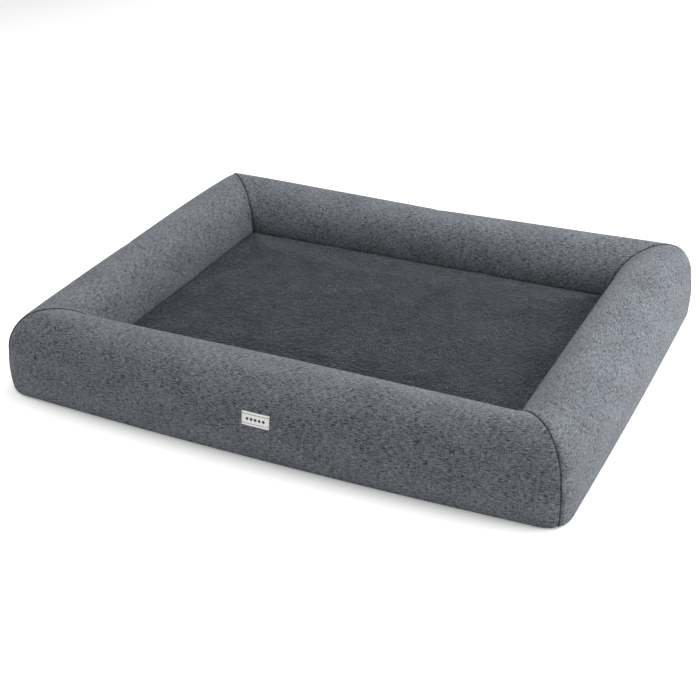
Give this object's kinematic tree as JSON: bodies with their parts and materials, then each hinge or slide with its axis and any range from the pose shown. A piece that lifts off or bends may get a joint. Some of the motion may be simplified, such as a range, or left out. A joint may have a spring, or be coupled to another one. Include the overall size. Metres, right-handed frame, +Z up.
{
  "type": "pet bed",
  "caption": "Rectangular pet bed with mitred padded bolsters round a sunken plush sleeping pad and a zipped cover.",
  "frame": {"origin": "centre of the underside, on the floor", "axes": "+X along the bed's length, +Z up, the labelled front at -Y and the zip at +Y"},
  "size_m": [1, 0.7753, 0.143],
  "materials": {
    "linen_cover": "matte",
    "bolster_foam": "matte",
    "support_foam": "matte",
    "plush": "matte",
    "grip_backing": "matte",
    "zip_tape": "matte",
    "zip_coil": "satin",
    "zip_metal": "satin",
    "label_cloth": "matte"
  },
  "bodies": {
    "root": {"front_bolster_cover": "linen_cover", "rear_bolster_cover": "linen_cover", "left_bolster_cover": "linen_cover", "right_bolster_cover": "linen_cover", "rear_zip_strip": "linen_cover", "front_bolster_core": "bolster_foam", "rear_bolster_core": "bolster_foam", "left_bolster_core": "bolster_foam", "right_bolster_core": "bolster_foam", "comfort_foam": "bolster_foam", "support_foam": "support_foam", "sleeping_surface": "plush", "bottom_panel": "grip_backing", "zip_tape_upper": "zip_tape", "zip_tape_lower": "zip_tape", "zip_coil_upper": "zip_coil", "zip_coil_lower": "zip_coil", "zip_top_stop_upper": "zip_metal", "zip_top_stop_lower": "zip_metal", "zip_bottom_stop": "zip_metal", "woven_label": "label_cloth"},
    "slider": {"zip_slider": "zip_metal"},
    "pull": {"zip_pull": "zip_metal"}
  },
  "joints": [
    {"name": "zip_slide", "type": "slide", "parent": "root", "child": "slider", "axis": [1, 0, 0], "range_m": [0, 0.7466]},
    {"name": "pull_turn", "type": "hinge", "parent": "slider", "child": "pull", "pos_m": [-0.3735, 0.3862, 0.027], "axis": [0, 0, 1], "range_deg": [0, 180]}
  ]
}
